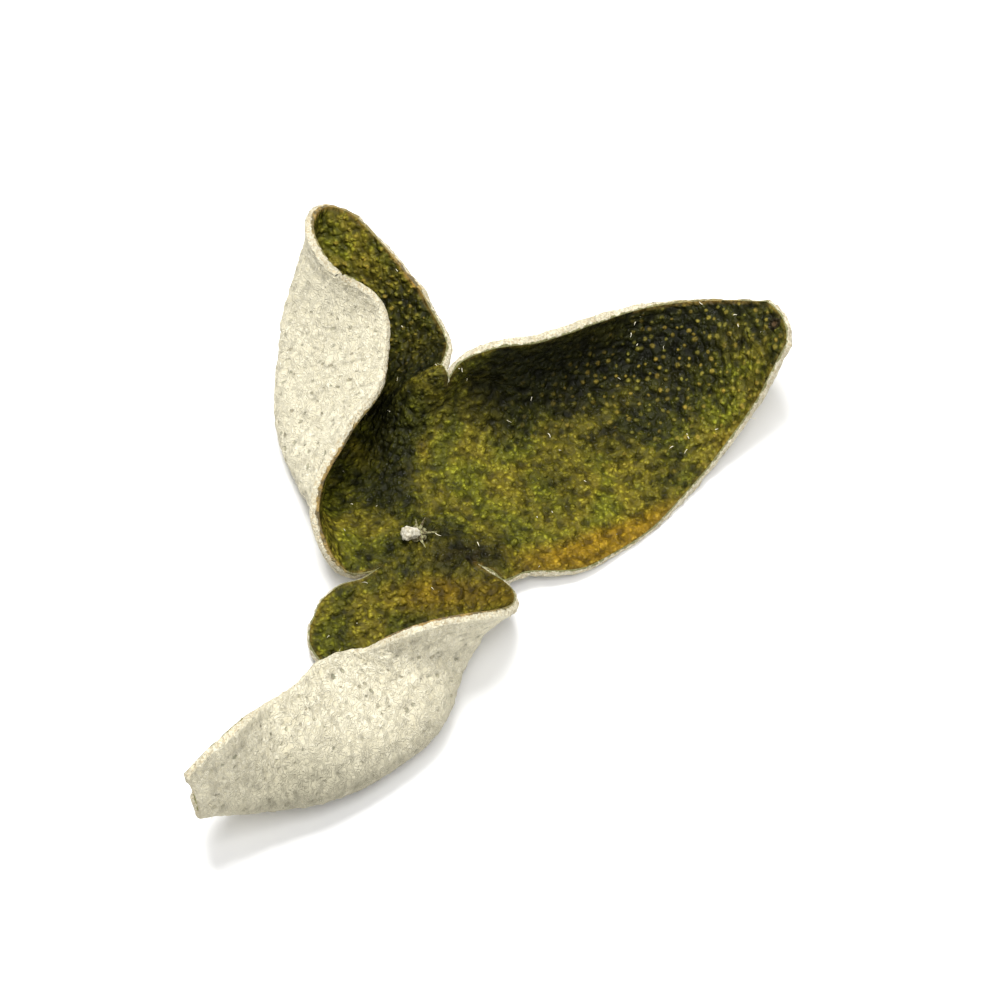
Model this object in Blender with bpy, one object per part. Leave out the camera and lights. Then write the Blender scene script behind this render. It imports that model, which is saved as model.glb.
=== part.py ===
"""A dried green mandarin peel turned inside out: three petals held together at the stem.

The oily green skin faces up and inwards, the white pith faces down and outwards.
Lengths in the tables are millimetres, angles are degrees, and the mesh is made in metres.
"""

import math

import bmesh
import bpy
import numpy as np
from mathutils import Matrix, Vector

MM = 0.001
THICKNESS = 1.8
HUB_HEIGHT = 6.1
RING_STEP = 3.0
INNER_RINGS = 14
OUTER_RINGS = 16
COLUMNS = 20
CURL_STEPS = 24
TURN_WIDTH = 27.0
LIP_FROM = 0.6
SEAM_BAND = 0.75
SEAM_FADE = 9.0
SLIT_GAP = 0.7
SLIT_OPENS = 4.0

SPOON_SHOULDER = 84.0
ROLL_BACK = 222.0
TAIL_FRONT = 330.0

SLIT_SPOON_ROLL = 33.0
SLIT_ROLL_TAIL = 9.0
SLIT_TAIL_SPOON = 12.0

STUB_LENGTH = 3.4
STUB_RADIUS = 1.15
CALYX_RADIUS = 1.7
CALYX_HEIGHT = 0.8
SEPAL_WIDTH = 0.9
BUTTON_GAP = 0.35
SEPALS = [(100.0, 2.3, 24.0), (62.0, 3.0, 20.0), (-5.0, 3.6, 12.0), (-68.0, 3.8, 6.0)]

# Each petal has a midrib that starts at the stem, and on its left and right sides stations
# (share of its length, value) for half width, bow of the rings, turn of the cross section
# and turn of the lip at the margin. The petals are listed anticlockwise.
SPOON = {
    "axis": 28.0,
    "midrib": [(0, 0, 0), (16, 9.5, -2), (32, 21, -4.3), (47, 30, -2.3), (59, 36, 5), (68, 39.5, 13)],
    "bank": [(0, 0), (0.2, 5), (0.4, 8), (0.6, 8), (0.8, 6), (1, 0)],
    "settle": 16.0,
    "left": {
        "width": [(0, 18), (0.2, 26), (0.4, 30.5), (0.6, 29), (0.8, 21), (1, 5)],
        "bow": [(0, 10), (0.2, 12), (0.4, 14), (0.6, 11), (0.8, 7), (1, 1.5)],
        "turn": [(0, 10), (0.2, 60), (0.4, 85), (0.6, 95), (0.8, 85), (1, 60)],
        "lip": [(0, 0), (1, 0)],
        "fold_from": 0.1,
        "fold_to": [(0, 1.1), (1, 1.1)],
    },
    "right": {
        "width": [(0, 11), (0.2, 14.5), (0.3, 15.5), (0.45, 20.5), (0.6, 20), (0.8, 14), (0.93, 9), (1, 5)],
        "bow": [(0, 10), (0.2, 12), (0.4, 14), (0.6, 13), (0.8, 9), (1, 1.5)],
        "turn": [(0, 0), (0.2, 5), (0.4, 15), (0.8, 15), (1, 10)],
        "lip": [(0, 0), (0.2, -30), (0.4, -80), (0.6, -60), (0.8, 0), (1, 0)],
        "fold_from": 0.0,
        "fold_to": [(0, 0.9), (1, 0.9)],
    },
}
ROLL = {
    "axis": 145.0,
    "midrib": [(0, 0, 0), (-13, 9, -3), (-20, 24, -5), (-20.5, 41, -4.5), (-19, 56, 2), (-16, 67, 9)],
    "bank": [(0, 0), (1, 0)],
    "settle": 12.0,
    "left": {
        "width": [(0, 10), (0.2, 15), (0.3, 19), (0.42, 28), (0.6, 31.5), (0.8, 26), (0.9, 15.5), (1, 5)],
        "bow": [(0, 3), (0.2, 4), (0.3, 7), (0.4, 8), (0.6, 5), (0.8, 1.5), (0.9, 4.5), (1, 2)],
        "turn": [
            (0, 0),
            (0.08, 10),
            (0.15, 60),
            (0.25, 140),
            (0.45, 155),
            (0.68, 154),
            (0.79, 147),
            (0.88, 119),
            (0.95, 87),
            (1, 70),
        ],
        "lip": [(0, 0), (1, 0)],
        "fold_from": 0.0,
        "fold_to": [(0, 0.5), (0.6, 0.47), (0.8, 0.32), (0.9, 0.18), (1, 0.14)],
    },
    "right": {
        "width": [(0, 18), (0.2, 25), (0.4, 29), (0.6, 29), (0.8, 21), (0.92, 13), (1, 5)],
        "bow": [(0, 10), (0.2, 12), (0.4, 5), (0.6, -2), (0.8, -3), (1, 1)],
        "turn": [(0, 0), (0.2, 40), (0.4, 50), (0.6, 34), (0.8, 28), (1, 20)],
        "lip": [(0, 0), (1, 0)],
        "fold_from": 0.0,
        "fold_to": [(0, 0.8), (1, 0.8)],
    },
}
TAIL = {
    "axis": 278.0,
    "midrib": [(0, 0, 0), (3, -17, -2.8), (1, -35.5, -4.2), (-11, -48, -3.5), (-26, -55, 0.5), (-40, -59.5, 6.5)],
    "bank": [(0, 0), (0.2, 5), (0.4, 12), (0.6, 12), (0.8, 8), (1, 0)],
    "settle": 14.0,
    "left": {
        "width": [(0, 12), (0.2, 15.5), (0.3, 18), (0.4, 24), (0.6, 30), (0.7, 27.8), (0.8, 23.6), (0.9, 21.5), (1, 14)],
        "bow": [(0, 5), (0.2, 5), (0.3, 7), (0.4, 8), (0.6, 2), (0.8, -3), (0.9, -8.5), (1, -6)],
        "turn": [(0, 0), (0.15, 10), (0.25, 60), (0.36, 135), (0.6, 145), (0.8, 145), (0.9, 134), (1, 112)],
        "lip": [(0, 0), (1, 0)],
        "fold_from": 0.0,
        "fold_to": [(0, 0.45), (0.4, 0.45), (0.6, 0.42), (0.8, 0.35), (1, 0.3)],
    },
    "right": {
        "width": [(0, 12), (0.2, 20), (0.38, 23.5), (0.5, 19), (0.6, 17), (0.8, 13), (1, 4)],
        "bow": [(0, 8), (0.2, 12), (0.4, 13), (0.6, 9), (0.8, 7), (1, 3)],
        "turn": [(0, 0), (0.2, 10), (0.4, 36), (0.6, 66), (0.8, 74), (1, 40)],
        "lip": [(0, 0), (1, 0)],
        "fold_from": 0.0,
        "fold_to": [(0, 0.9), (1, 0.9)],
    },
}


def ease(x, start, end):
    """Smooth step from 0 at start to 1 at end."""
    t = np.clip((x - start) / (end - start), 0.0, 1.0)
    return t * t * (3.0 - 2.0 * t)


def slopes(gaps, steps):
    """Slope at each station, kept small enough that the curve never overshoots."""
    inner = (steps[:-1] * gaps[1:] + steps[1:] * gaps[:-1]) / (gaps[1:] + gaps[:-1])
    limit = 3.0 * np.minimum(np.abs(steps[:-1]), np.abs(steps[1:]))
    inner = np.sign(inner) * np.minimum(np.abs(inner), limit)
    inner[steps[:-1] * steps[1:] <= 0.0] = 0.0
    return np.concatenate([steps[:1], inner, steps[-1:]])


def along(stations, t):
    """Value at t of a smooth curve through the stations (share of length, value)."""
    at = np.array([station[0] for station in stations], float)
    value = np.array([station[1] for station in stations], float)
    gaps = np.diff(at)
    slope = slopes(gaps, np.diff(value) / gaps)
    t = np.clip(np.asarray(t, float), at[0], at[-1])
    i = np.clip(np.searchsorted(at, t, side="right") - 1, 0, len(gaps) - 1)
    f = (t - at[i]) / gaps[i]
    start = (2 * f**3 - 3 * f**2 + 1) * value[i] + (f**3 - 2 * f**2 + f) * gaps[i] * slope[i]
    end = (3 * f**2 - 2 * f**3) * value[i + 1] + (f**3 - f**2) * gaps[i] * slope[i + 1]
    return start + end


def rib_points(points, t):
    """Smooth 3-D curve through the midrib's points at equal steps of t."""
    points = np.array(points, float)
    last = len(points) - 1
    tangent = np.gradient(points, axis=0)
    i = np.minimum((t * last).astype(int), last - 1)
    f = (t * last - i)[:, None]
    start = (2 * f**3 - 3 * f**2 + 1) * points[i] + (f**3 - 2 * f**2 + f) * tangent[i]
    end = (3 * f**2 - 2 * f**3) * points[i + 1] + (f**3 - f**2) * tangent[i + 1]
    return start + end


def normalised(vectors):
    return vectors / np.linalg.norm(vectors, axis=-1, keepdims=True)


class Petal:
    """One petal: where each point (s along the midrib, u across it, right positive) lies."""

    STEPS = 200

    def __init__(self, values, left_sector, right_sector, left_slit, right_slit):
        self.values = values
        self.sector = (left_sector, right_sector)
        self.slit = (left_slit, right_slit)
        fine = np.linspace(0.0, 1.0, 2001)
        curve = rib_points(values["midrib"], fine)
        run = np.concatenate([[0.0], np.cumsum(np.linalg.norm(np.diff(curve, axis=0), axis=1))])
        self.length = run[-1]
        stations = np.linspace(0.0, self.length, self.STEPS + 1)
        self.rib = rib_points(values["midrib"], np.interp(stations, run, fine))
        self.ahead = normalised(np.gradient(self.rib, stations, axis=0))
        level = normalised(np.cross(self.ahead, [0.0, 0.0, 1.0]))
        upright = np.cross(level, self.ahead)
        bank = np.radians(along(values["bank"], stations / self.length))[:, None]
        self.across = level * np.cos(bank) - upright * np.sin(bank)
        self.up = upright * np.cos(bank) + level * np.sin(bank)

    def pick(self, name, t, right):
        """Value of one side's stations, the right side's where right is true."""
        left_value = along(self.values["left"][name], t)
        right_value = along(self.values["right"][name], t)
        return np.where(right, right_value, left_value)

    def ring(self, rho, tau):
        """Point (s, u) of the ring at distance rho from the stem, tau from -1 (left) to 1 (right)."""
        right = tau > 0.0
        angle = np.radians(np.where(right, self.sector[1], self.sector[0])) * tau
        t = rho / self.length
        leaf_s = rho - self.pick("bow", t, right) * tau**2
        leaf_u = self.pick("width", t, right) * tau
        slit = np.where(right, self.slit[1], self.slit[0])
        leaf = ease(rho, slit - 2.0, slit + self.values["settle"])
        s = rho * np.cos(angle) * (1.0 - leaf) + leaf_s * leaf
        u = rho * np.sin(angle) * (1.0 - leaf) + leaf_u * leaf
        return s, u

    def frame_at(self, s):
        """Midrib point and the across and up directions at s."""
        f = np.clip(s / self.length * self.STEPS, 0.0, self.STEPS - 1e-6)
        i = f.astype(int)
        f = (f - i)[..., None]
        beyond = (s - np.clip(s, 0.0, self.length))[..., None]
        point, ahead, across, up = (
            table[i] * (1.0 - f) + table[i + 1] * f
            for table in (self.rib, self.ahead, self.across, self.up)
        )
        return point + ahead * beyond, across, up

    def place(self, s, u):
        """Point of the curled sheet at (s, u), by adding up the turn of the cross section."""
        point, across, up = self.frame_at(s)
        t = np.clip(s / self.length, 0.0, 1.0)
        right = u > 0.0
        turn = np.radians(self.pick("turn", t, right))[..., None]
        lip = np.radians(self.pick("lip", t, right))[..., None]
        start = np.where(right, self.values["right"]["fold_from"], self.values["left"]["fold_from"])
        end = self.pick("fold_to", t, right)
        reach = np.abs(u) / TURN_WIDTH
        x = reach[..., None] * (np.arange(CURL_STEPS) + 0.5) / CURL_STEPS
        angle = turn * ease(x, start[..., None], end[..., None]) + lip * ease(x, LIP_FROM, 1.0)
        out = np.cos(angle).mean(axis=-1) * u
        rise = np.sin(angle).mean(axis=-1) * np.abs(u)
        return point + across * out[..., None] + up * rise[..., None]


def make_petals():
    """The three petals, with the sectors that their shared borders at the stem give."""
    spoon = Petal(
        SPOON,
        SPOON_SHOULDER - SPOON["axis"],
        SPOON["axis"] + 360.0 - TAIL_FRONT,
        SLIT_SPOON_ROLL,
        SLIT_TAIL_SPOON,
    )
    roll = Petal(
        ROLL, ROLL_BACK - ROLL["axis"], ROLL["axis"] - SPOON_SHOULDER, SLIT_ROLL_TAIL, SLIT_SPOON_ROLL
    )
    tail = Petal(
        TAIL, TAIL_FRONT - TAIL["axis"], TAIL["axis"] - ROLL_BACK, SLIT_TAIL_SPOON, SLIT_ROLL_TAIL
    )
    return [spoon, roll, tail]


def seam_share(tau_out, rho, slit):
    """How much of the neighbour's shape a point takes: half at the border, none past the slit."""
    near = 1.0 - ease(1.0 - tau_out, 0.0, SEAM_BAND)
    joined = 1.0 - ease(rho, slit, slit + SEAM_FADE)
    return 0.5 * near * joined


def sheet(petals, index, rho, tau):
    """Middle of the peel's thickness at (rho, tau) of one petal, blended with its neighbours."""
    own = petals[index]
    point = own.place(*own.ring(rho, tau))
    left = petals[(index + 1) % 3]
    right = petals[(index - 1) % 3]
    past_left = 1.0 + (1.0 + tau) * own.sector[0] / left.sector[1]
    past_right = -1.0 - (1.0 - tau) * own.sector[1] / right.sector[0]
    share_left = np.where(tau < 0.0, seam_share(-tau, rho, own.slit[0]), 0.0)
    share_right = np.where(tau > 0.0, seam_share(tau, rho, own.slit[1]), 0.0)
    from_left = left.place(*left.ring(rho, past_left))
    from_right = right.place(*right.ring(rho, past_right))
    return (
        point
        + (from_left - point) * share_left[..., None]
        + (from_right - point) * share_right[..., None]
    )


def open_slits(petal, rho, tau):
    """Pulls the margins back a little beyond each slit's end, so that neighbours part."""
    slit = np.where(tau > 0.0, petal.slit[1], petal.slit[0])
    sector = np.radians(np.where(tau > 0.0, petal.sector[1], petal.sector[0]))
    gap = SLIT_GAP * ease(rho, slit, slit + SLIT_OPENS)
    arc = np.maximum(sector * rho, 1.0)
    return tau * (1.0 - gap / arc)


def ring_distances(petal):
    """Distances of the rings from the stem: the inner ones are the same on every petal."""
    inner = RING_STEP * np.arange(1, INNER_RINGS + 1)
    outer = np.linspace(inner[-1], petal.length, OUTER_RINGS + 1)[1:]
    return np.concatenate([inner, outer])


def petal_grid(petals, index):
    """Grid of points in millimetres, ring by ring from the stem to the tip."""
    petal = petals[index]
    rho, tau = np.meshgrid(
        ring_distances(petal), np.linspace(-1.0, 1.0, COLUMNS + 1), indexing="ij"
    )
    return sheet(petals, index, rho, open_slits(petal, rho, tau))


def add_petal_faces(mesh, centre, grid):
    """Quads between the rings, and a fan from the stem to the first ring."""
    rows = [[mesh.verts.new(Vector(point) * MM) for point in ring] for ring in grid]
    for a, b in zip(rows[0], rows[0][1:]):
        mesh.faces.new((centre, b, a))
    for inner, outer in zip(rows, rows[1:]):
        for k in range(len(inner) - 1):
            mesh.faces.new((inner[k], inner[k + 1], outer[k + 1], outer[k]))


def principled(name, colour, roughness):
    material = bpy.data.materials.new(name)
    material.use_nodes = True
    shader = material.node_tree.nodes["Principled BSDF"]
    shader.inputs["Base Color"].default_value = (*colour, 1.0)
    shader.inputs["Roughness"].default_value = roughness
    shader.inputs["Metallic"].default_value = 0.0
    material.diffuse_color = (*colour, 1.0)
    return material


def new_object(name, mesh):
    data = bpy.data.meshes.new(name)
    mesh.to_mesh(data)
    mesh.free()
    obj = bpy.data.objects.new(name, data)
    bpy.context.scene.collection.objects.link(obj)
    return obj


def thicken(obj):
    """Gives the sheet its thickness, half to each side, with the pith below and at the cut edge."""
    solidify = obj.modifiers.new("thickness", "SOLIDIFY")
    solidify.thickness = THICKNESS * MM
    solidify.offset = 0.0
    solidify.material_offset = 1
    solidify.material_offset_rim = 1
    bpy.context.view_layer.update()
    graph = bpy.context.evaluated_depsgraph_get()
    solid = bpy.data.meshes.new_from_object(obj.evaluated_get(graph))
    obj.modifiers.clear()
    obj.data = solid


def rest_on_floor(obj):
    """Lifts the peel to its height and presses the three lowest places flat on the floor."""
    for vertex in obj.data.vertices:
        vertex.co.z = max(vertex.co.z + HUB_HEIGHT * MM, 0.0)


def make_peel(petals):
    mesh = bmesh.new()
    centre = mesh.verts.new((0.0, 0.0, 0.0))
    for index in range(3):
        add_petal_faces(mesh, centre, petal_grid(petals, index))
    bmesh.ops.remove_doubles(mesh, verts=mesh.verts, dist=0.000002)
    bmesh.ops.recalc_face_normals(mesh, faces=mesh.faces)
    if centre.normal.z < 0.0:
        bmesh.ops.reverse_faces(mesh, faces=mesh.faces)
    peel = new_object("peel", mesh)
    peel.data.materials.append(principled("green_skin", (0.085, 0.098, 0.016), 0.55))
    peel.data.materials.append(principled("white_pith", (0.72, 0.66, 0.47), 0.95))
    thicken(peel)
    rest_on_floor(peel)
    bmesh_triangles(peel)
    peel.data.shade_smooth()
    peel.data.set_sharp_from_angle(angle=math.radians(45.0))
    return peel


def bmesh_triangles(obj):
    """Splits every quad, so that both faces of the peel are triangles."""
    mesh = bmesh.new()
    mesh.from_mesh(obj.data)
    bmesh.ops.triangulate(mesh, faces=mesh.faces)
    mesh.to_mesh(obj.data)
    mesh.free()


def lean(direction):
    """Rotation that takes +Z to the given direction."""
    return Vector((0.0, 0.0, 1.0)).rotation_difference(Vector(direction)).to_matrix().to_4x4()


def calyx_disc(mesh, seat):
    """Flat round cushion that the stalk grew from."""
    shape = Matrix.Translation(seat + Vector((0.0, 0.0, CALYX_HEIGHT * 0.5 * MM)))
    shape = shape @ Matrix.Diagonal((1.0, 0.85, CALYX_HEIGHT * 0.5 / CALYX_RADIUS, 1.0))
    bmesh.ops.create_icosphere(mesh, subdivisions=2, radius=CALYX_RADIUS * MM, matrix=shape)


def stalk_stub(mesh, seat):
    """Cut end of the stalk, leaning over to the left and widening at its end."""
    length = STUB_LENGTH * MM
    turn = lean((-0.78, -0.42, 0.62))
    shape = Matrix.Translation(seat + Vector((0.0, 0.0, 0.55 * MM))) @ turn
    shape = shape @ Matrix.Translation((0.0, 0.0, length * 0.45))
    bmesh.ops.create_cone(
        mesh,
        cap_ends=True,
        segments=12,
        radius1=STUB_RADIUS * 0.75 * MM,
        radius2=STUB_RADIUS * MM,
        depth=length,
        matrix=shape,
    )


def sepal(mesh, seat, heading, length, climb):
    """One dried sepal, a thin pointed tongue that lies on the skin."""
    angle = math.radians(heading)
    rise = math.radians(climb)
    direction = (math.cos(angle) * math.cos(rise), math.sin(angle) * math.cos(rise), math.sin(rise))
    turn = lean(direction)
    shape = Matrix.Translation(seat + Vector((0.0, 0.0, 0.4 * MM))) @ turn
    shape = shape @ Matrix.Translation((0.0, 0.0, length * 0.5 * MM))
    bmesh.ops.create_cone(
        mesh,
        cap_ends=True,
        segments=6,
        radius1=SEPAL_WIDTH * 0.5 * MM,
        radius2=0.12 * MM,
        depth=length * MM,
        matrix=shape,
    )


def button_piece(name, build, *values):
    mesh = bmesh.new()
    build(mesh, *values)
    return new_object(name, mesh)


def make_button(seat):
    """Stem button of one piece: calyx, stub of the stalk and four sepals, joined by a union."""
    button = button_piece("stem_button", calyx_disc, seat)
    parts = bpy.data.collections.new("button_parts")
    bpy.context.scene.collection.children.link(parts)
    pieces = [button_piece("stub", stalk_stub, seat)]
    for number, (heading, length, climb) in enumerate(SEPALS):
        pieces.append(button_piece("sepal_%d" % number, sepal, seat, heading, length, climb))
    for piece in pieces:
        bpy.context.scene.collection.objects.unlink(piece)
        parts.objects.link(piece)
    union = button.modifiers.new("union", "BOOLEAN")
    union.operation = "UNION"
    union.operand_type = "COLLECTION"
    union.collection = parts
    union.solver = "EXACT"
    bpy.context.view_layer.update()
    graph = bpy.context.evaluated_depsgraph_get()
    button.data = bpy.data.meshes.new_from_object(button.evaluated_get(graph))
    button.modifiers.clear()
    for piece in pieces:
        bpy.data.objects.remove(piece)
    bpy.data.collections.remove(parts)
    button.data.materials.clear()
    button.data.materials.append(principled("dried_stalk", (0.42, 0.38, 0.27), 0.85))
    return button


def button_seat(peel):
    """Highest place of the skin under the button, with the gap above it."""
    reach = (CALYX_RADIUS + 2.2) * MM
    near = [v.co.z for v in peel.data.vertices if v.co.xy.length < reach]
    return Vector((0.0, 0.0, max(near) + BUTTON_GAP * MM))


def centre_on_origin(objects):
    """Moves the footprint's centre to the origin, with the lowest point on the floor."""
    points = [v.co for obj in objects for v in obj.data.vertices]
    low = [min(p[k] for p in points) for k in range(3)]
    high = [max(p[k] for p in points) for k in range(3)]
    shift = Vector((-(low[0] + high[0]) / 2.0, -(low[1] + high[1]) / 2.0, -low[2]))
    for obj in objects:
        obj.data.transform(Matrix.Translation(shift))
    return shift


def clear_scene():
    for obj in list(bpy.data.objects):
        bpy.data.objects.remove(obj)


def main():
    clear_scene()
    petals = make_petals()
    peel = make_peel(petals)
    button = make_button(button_seat(peel))
    shift = centre_on_origin([peel, button])
    print("shift mm", [round(value / MM, 3) for value in shift])


main()
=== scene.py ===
"""A dried green mandarin peel turned inside out, lying on a pale floor.

The peel is one closed mesh: oily green skin above, white pith below and round the torn margin.
Lengths in the tables are millimetres, angles are degrees, and the frame is in metres.
"""

import math
import random

import bmesh
import bpy
import numpy as np
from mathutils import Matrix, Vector, noise
from mathutils.kdtree import KDTree


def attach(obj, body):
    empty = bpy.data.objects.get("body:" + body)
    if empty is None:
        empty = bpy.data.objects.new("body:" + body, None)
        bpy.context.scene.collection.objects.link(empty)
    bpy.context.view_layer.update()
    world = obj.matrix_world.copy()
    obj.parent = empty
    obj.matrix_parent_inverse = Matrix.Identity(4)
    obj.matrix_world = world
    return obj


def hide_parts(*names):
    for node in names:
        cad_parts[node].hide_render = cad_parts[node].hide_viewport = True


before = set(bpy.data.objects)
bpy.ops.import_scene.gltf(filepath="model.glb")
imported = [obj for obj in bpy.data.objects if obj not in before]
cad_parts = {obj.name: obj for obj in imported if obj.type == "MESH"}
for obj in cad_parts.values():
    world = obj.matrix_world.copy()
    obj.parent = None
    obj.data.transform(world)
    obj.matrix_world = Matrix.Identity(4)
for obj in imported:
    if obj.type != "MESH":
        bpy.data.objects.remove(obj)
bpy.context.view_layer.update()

MM = 0.001

# The peel, and where the middle of its stem end stands in the frame.
THICKNESS = 1.8
HUB_X = -13.993
HUB_Y = -1.751
HUB_HEIGHT = 6.1

# Curl of the cross sections: steps it is added up in, width over which the stated turn is
# reached, and the share of that width from which the lip at the margin turns.
CURL_STEPS = 24
TURN_WIDTH = 27.0
LIP_FROM = 0.6

# Borders that petals share near the stem: share of a petal's width that blends with its
# neighbour, how the blend fades beyond the border's end, how far before that end a petal
# starts to take its own outline, and how the slit opens.
SEAM_BAND = 0.75
SEAM_FADE = 9.0
LEAF_LEAD = 2.0
SLIT_GAP = 0.7
SLIT_OPENS = 4.0

# Headings of the three borders, and the distance from the stem at which each one tears.
SPOON_SHOULDER = 84.0
ROLL_BACK = 222.0
TAIL_FRONT = 330.0
SLIT_SPOON_ROLL = 33.0
SLIT_ROLL_TAIL = 9.0
SLIT_TAIL_SPOON = 12.0

# Mesh: distance between points, how far out all petals have the same rings, places at which
# a ring's length is measured, and the rim.
GRAIN = 0.46
COMMON_REACH = 41.4
RING_SAMPLES = 41
RIM_ROWS = 5
RIM_BULGE = 0.35

SPOON_INDEX = 0
ROLL_INDEX = 1
TAIL_INDEX = 2

# Each petal has a midrib that starts at the stem, and on its left and right sides stations
# (share of its length, value) for half width, bow of the rings, turn of the cross section,
# turn of the lip at the margin, and the shares of the turning width between which the turn
# happens. The axis is the midrib's heading on the flattened peel, the bank tilts the cross
# section, and the petal has its own outline that far (settle) beyond its slits. The petals
# are listed anticlockwise.
SPOON = {
    "axis": 28.0,
    "midrib": [
        (0, 0, 0), (16, 9.5, -2), (32, 21, -4.3), (47, 30, -2.3), (59, 36, 5), (68, 39.5, 13),
    ],
    "bank": [(0, 0), (0.2, 5), (0.4, 8), (0.6, 8), (0.8, 6), (1, 0)],
    "settle": 16.0,
    "left": {
        "width": [(0, 18), (0.2, 26), (0.4, 30.5), (0.6, 29), (0.8, 21), (1, 5)],
        "bow": [(0, 10), (0.2, 12), (0.4, 14), (0.6, 11), (0.8, 7), (1, 1.5)],
        "turn": [(0, 10), (0.2, 60), (0.4, 85), (0.6, 95), (0.8, 85), (1, 60)],
        "lip": [(0, 0), (1, 0)],
        "fold_from": 0.1,
        "fold_to": [(0, 1.1), (1, 1.1)],
    },
    "right": {
        "width": [
            (0, 11), (0.2, 14.5), (0.3, 15.5), (0.45, 20.5), (0.6, 20), (0.8, 14), (0.93, 9),
            (1, 5),
        ],
        "bow": [(0, 10), (0.2, 12), (0.4, 14), (0.6, 13), (0.8, 9), (1, 1.5)],
        "turn": [(0, 0), (0.2, 5), (0.4, 15), (0.8, 15), (1, 10)],
        "lip": [(0, 0), (0.2, -30), (0.4, -80), (0.6, -60), (0.8, 0), (1, 0)],
        "fold_from": 0.0,
        "fold_to": [(0, 0.9), (1, 0.9)],
    },
}
ROLL = {
    "axis": 145.0,
    "midrib": [
        (0, 0, 0), (-13, 9, -3), (-20, 24, -5), (-20.5, 41, -4.5), (-19, 56, 2), (-16, 67, 9),
    ],
    "bank": [(0, 0), (1, 0)],
    "settle": 12.0,
    "left": {
        "width": [
            (0, 10), (0.2, 15), (0.3, 19), (0.42, 28), (0.6, 31.5), (0.8, 26), (0.9, 15.5), (1, 5),
        ],
        "bow": [(0, 3), (0.2, 4), (0.3, 7), (0.4, 8), (0.6, 5), (0.8, 1.5), (0.9, 4.5), (1, 2)],
        "turn": [
            (0, 0), (0.08, 10), (0.15, 60), (0.25, 140), (0.45, 155), (0.68, 154), (0.79, 147),
            (0.88, 119), (0.95, 87), (1, 70),
        ],
        "lip": [(0, 0), (1, 0)],
        "fold_from": 0.0,
        "fold_to": [(0, 0.5), (0.6, 0.47), (0.8, 0.32), (0.9, 0.18), (1, 0.14)],
    },
    "right": {
        "width": [(0, 18), (0.2, 25), (0.4, 29), (0.6, 29), (0.8, 21), (0.92, 13), (1, 5)],
        "bow": [(0, 10), (0.2, 12), (0.4, 5), (0.6, -2), (0.8, -3), (1, 1)],
        "turn": [(0, 0), (0.2, 40), (0.4, 50), (0.6, 34), (0.8, 28), (1, 20)],
        "lip": [(0, 0), (1, 0)],
        "fold_from": 0.0,
        "fold_to": [(0, 0.8), (1, 0.8)],
    },
}
TAIL = {
    "axis": 278.0,
    "midrib": [
        (0, 0, 0), (3, -17, -2.8), (1, -35.5, -4.2), (-11, -48, -3.5), (-26, -55, 0.5),
        (-40, -59.5, 6.5),
    ],
    "bank": [(0, 0), (0.2, 5), (0.4, 12), (0.6, 12), (0.8, 8), (1, 0)],
    "settle": 14.0,
    "left": {
        "width": [
            (0, 12), (0.2, 15.5), (0.3, 18), (0.4, 24), (0.6, 30), (0.7, 27.8), (0.8, 23.6),
            (0.9, 21.5), (1, 14),
        ],
        "bow": [(0, 5), (0.2, 5), (0.3, 7), (0.4, 8), (0.6, 2), (0.8, -3), (0.9, -8.5), (1, -6)],
        "turn": [
            (0, 0), (0.15, 10), (0.25, 60), (0.36, 135), (0.6, 145), (0.8, 145), (0.9, 134),
            (1, 112),
        ],
        "lip": [(0, 0), (1, 0)],
        "fold_from": 0.0,
        "fold_to": [(0, 0.45), (0.4, 0.45), (0.6, 0.42), (0.8, 0.35), (1, 0.3)],
    },
    "right": {
        "width": [(0, 12), (0.2, 20), (0.38, 23.5), (0.5, 19), (0.6, 17), (0.8, 13), (1, 4)],
        "bow": [(0, 8), (0.2, 12), (0.4, 13), (0.6, 9), (0.8, 7), (1, 3)],
        "turn": [(0, 0), (0.2, 10), (0.4, 36), (0.6, 66), (0.8, 74), (1, 40)],
        "lip": [(0, 0), (1, 0)],
        "fold_from": 0.0,
        "fold_to": [(0, 0.9), (1, 0.9)],
    },
}

# Oil glands of the skin and dimples of the pith, as raised or sunken cells. The foot of each
# is that many radii wide.
GLAND_SPACING = 2.05
GLAND_RADIUS = 0.34
GLAND_HEIGHT = 0.2
GLAND_FOOT = 1.6
DIMPLE_SPACING = 2.2
DIMPLE_RADIUS = 0.24
DIMPLE_DEPTH = 0.2
DIMPLE_FOOT = 1.5

# Colours of the skin: spacing of its flecks and broader knobs, and sizes of its clouds.
FLECK_SPACING = 0.95
KNOB_SPACING = 1.6
PATCH_SIZE = 6.5
MOTTLE_SIZE = 1.9
EARTH_SIZE = 8.0

# Colours of the pith: sizes of its clouds, fibres and grit.
SOFT_SIZE = 5.0
FIBRE_SIZE = 0.7
SMUDGE_SIZE = 1.5
GRIT_SIZE = 0.5

# How fast finer features of a noise fade, and how much finer each next set is.
NOISE_FADE = 0.8
NOISE_FINER = 2.1

# Uneven relief: size of its features, its height, and where each noise is read. The glands
# and wrinkles calm down at the margin, and the dimples start a little way in.
DENT_SIZE = 13.0
DENT_DEPTH = 0.35
DENT_SEED = 11.0
WRINKLE_SIZE = 2.1
WRINKLE_HEIGHT = 0.26
WRINKLE_SEED = 7.0
FLUFF_SIZE = 1.9
FLUFF_HEIGHT = 0.26
FLUFF_SEED = 31.0
TEAR_SIZE = 1.6
TEAR_REACH = 0.4
TEAR_SEED = 50.0
TEAR_SEED_STEP = 0.36
CALM_MARGIN = 1.2
DIMPLE_FREE_MARGIN = 0.5
DIMPLE_FULL_MARGIN = 3.0
# Relief percentiles between which the painted shade in hollows fades out.
HOLLOW_PERCENTILES = (3, 60)
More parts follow.
